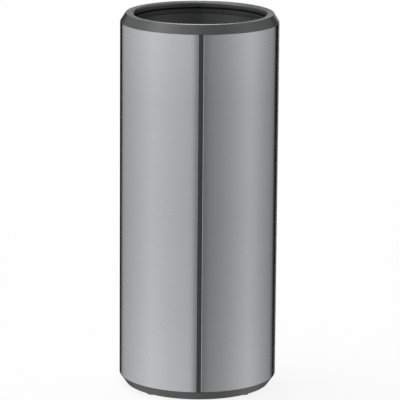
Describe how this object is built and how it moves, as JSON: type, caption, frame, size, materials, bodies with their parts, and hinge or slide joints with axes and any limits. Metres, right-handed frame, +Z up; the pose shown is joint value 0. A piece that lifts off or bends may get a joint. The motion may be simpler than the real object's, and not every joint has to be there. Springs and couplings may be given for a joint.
{
  "type": "umbrella stand",
  "caption": "Tall round umbrella stand: brushed steel panels joined by dark upright strips between chamfered dark rings, with a dark inner sleeve and a lift-out drip tray.",
  "frame": {"origin": "on the floor at the centre of the stand, under its axis", "axes": "+Z up along the stand's axis, -Y towards the front joint strip, +X to the right seen from the front"},
  "size_m": [0.25, 0.25, 0.6],
  "materials": {
    "panel_steel": "stainless steel brushed round the body",
    "ring_plastic": "satin dark grey moulding with a fine grain",
    "frame_plastic": "satin near-black moulding",
    "strip_plastic": "satin dark grey extrusion with fine draw lines",
    "sleeve_plastic": "satin near-black tube",
    "tray_plastic": "satin near-black moulding",
    "plate_steel": "dark powder coat",
    "zinc_screws": "bright zinc plate",
    "foot_rubber": "matt black rubber"
  },
  "bodies": {
    "stand": {"top_ring": "ring_plastic", "top_frame_ring": "frame_plastic", "base_ring": "ring_plastic", "inner_sleeve": "sleeve_plastic", "base_plate": "plate_steel", "joint_strip_front": "strip_plastic", "strip_screw_lower_front": "zinc_screws", "strip_screw_upper_front": "zinc_screws", "plate_screw_front": "zinc_screws", "joint_strip_right": "strip_plastic", "strip_screw_lower_right": "zinc_screws", "strip_screw_upper_right": "zinc_screws", "plate_screw_right": "zinc_screws", "joint_strip_rear": "strip_plastic", "strip_screw_lower_rear": "zinc_screws", "strip_screw_upper_rear": "zinc_screws", "plate_screw_rear": "zinc_screws", "joint_strip_left": "strip_plastic", "strip_screw_lower_left": "zinc_screws", "strip_screw_upper_left": "zinc_screws", "plate_screw_left": "zinc_screws", "rubber_foot_front_right": "foot_rubber", "rubber_foot_rear_right": "foot_rubber", "rubber_foot_rear_left": "foot_rubber", "rubber_foot_front_left": "foot_rubber", "panel_front_right": "panel_steel", "panel_rear_right": "panel_steel", "panel_rear_left": "panel_steel", "panel_front_left": "panel_steel"},
    "tray": {"drip_tray": "tray_plastic"}
  },
  "joints": [
    {"name": "tray_lift", "type": "slide", "parent": "stand", "child": "tray", "axis": [0, 0, 1], "range_m": [0, 0.6]}
  ]
}
